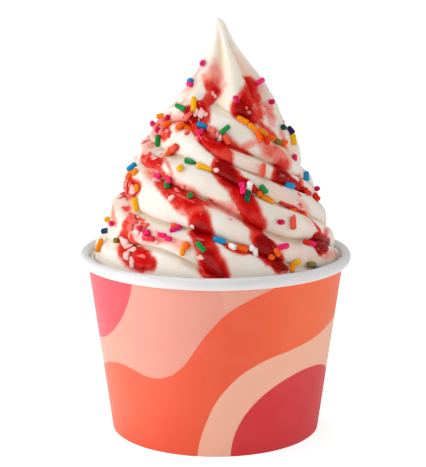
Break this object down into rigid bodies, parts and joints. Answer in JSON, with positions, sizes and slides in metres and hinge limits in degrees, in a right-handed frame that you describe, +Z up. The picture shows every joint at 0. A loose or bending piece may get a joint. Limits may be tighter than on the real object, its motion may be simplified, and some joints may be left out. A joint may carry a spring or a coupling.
{
  "type": "frozen yogurt cup",
  "caption": "Tapered paper cup with a rolled rim, filled with soft-serve frozen yogurt piped into a tall twisted swirl that ends in a leaning tip.",
  "frame": {"origin": "centre of the foot's underside, on the surface that the cup stands on", "axes": "+Z up along the cup's axis, -Y towards the front, +X to the right seen from the front"},
  "size_m": [0.1, 0.1, 0.1522],
  "materials": {
    "printed_paper": "satin coated paper with flat fields of coral, peach, rose and crimson, white rolled rim and white inside",
    "white_paper": "satin coated white paper",
    "frozen_yogurt": "smooth soft-serve, cream white, softly moist",
    "strawberry_sauce": "wet translucent red sauce with fruit pulp",
    "sugar_sprinkles": "lightly glossy sugar strands in mixed colours"
  },
  "bodies": {
    "root": {"cup_wall": "printed_paper", "cup_base": "white_paper", "yogurt": "frozen_yogurt"}
  },
  "joints": []
}
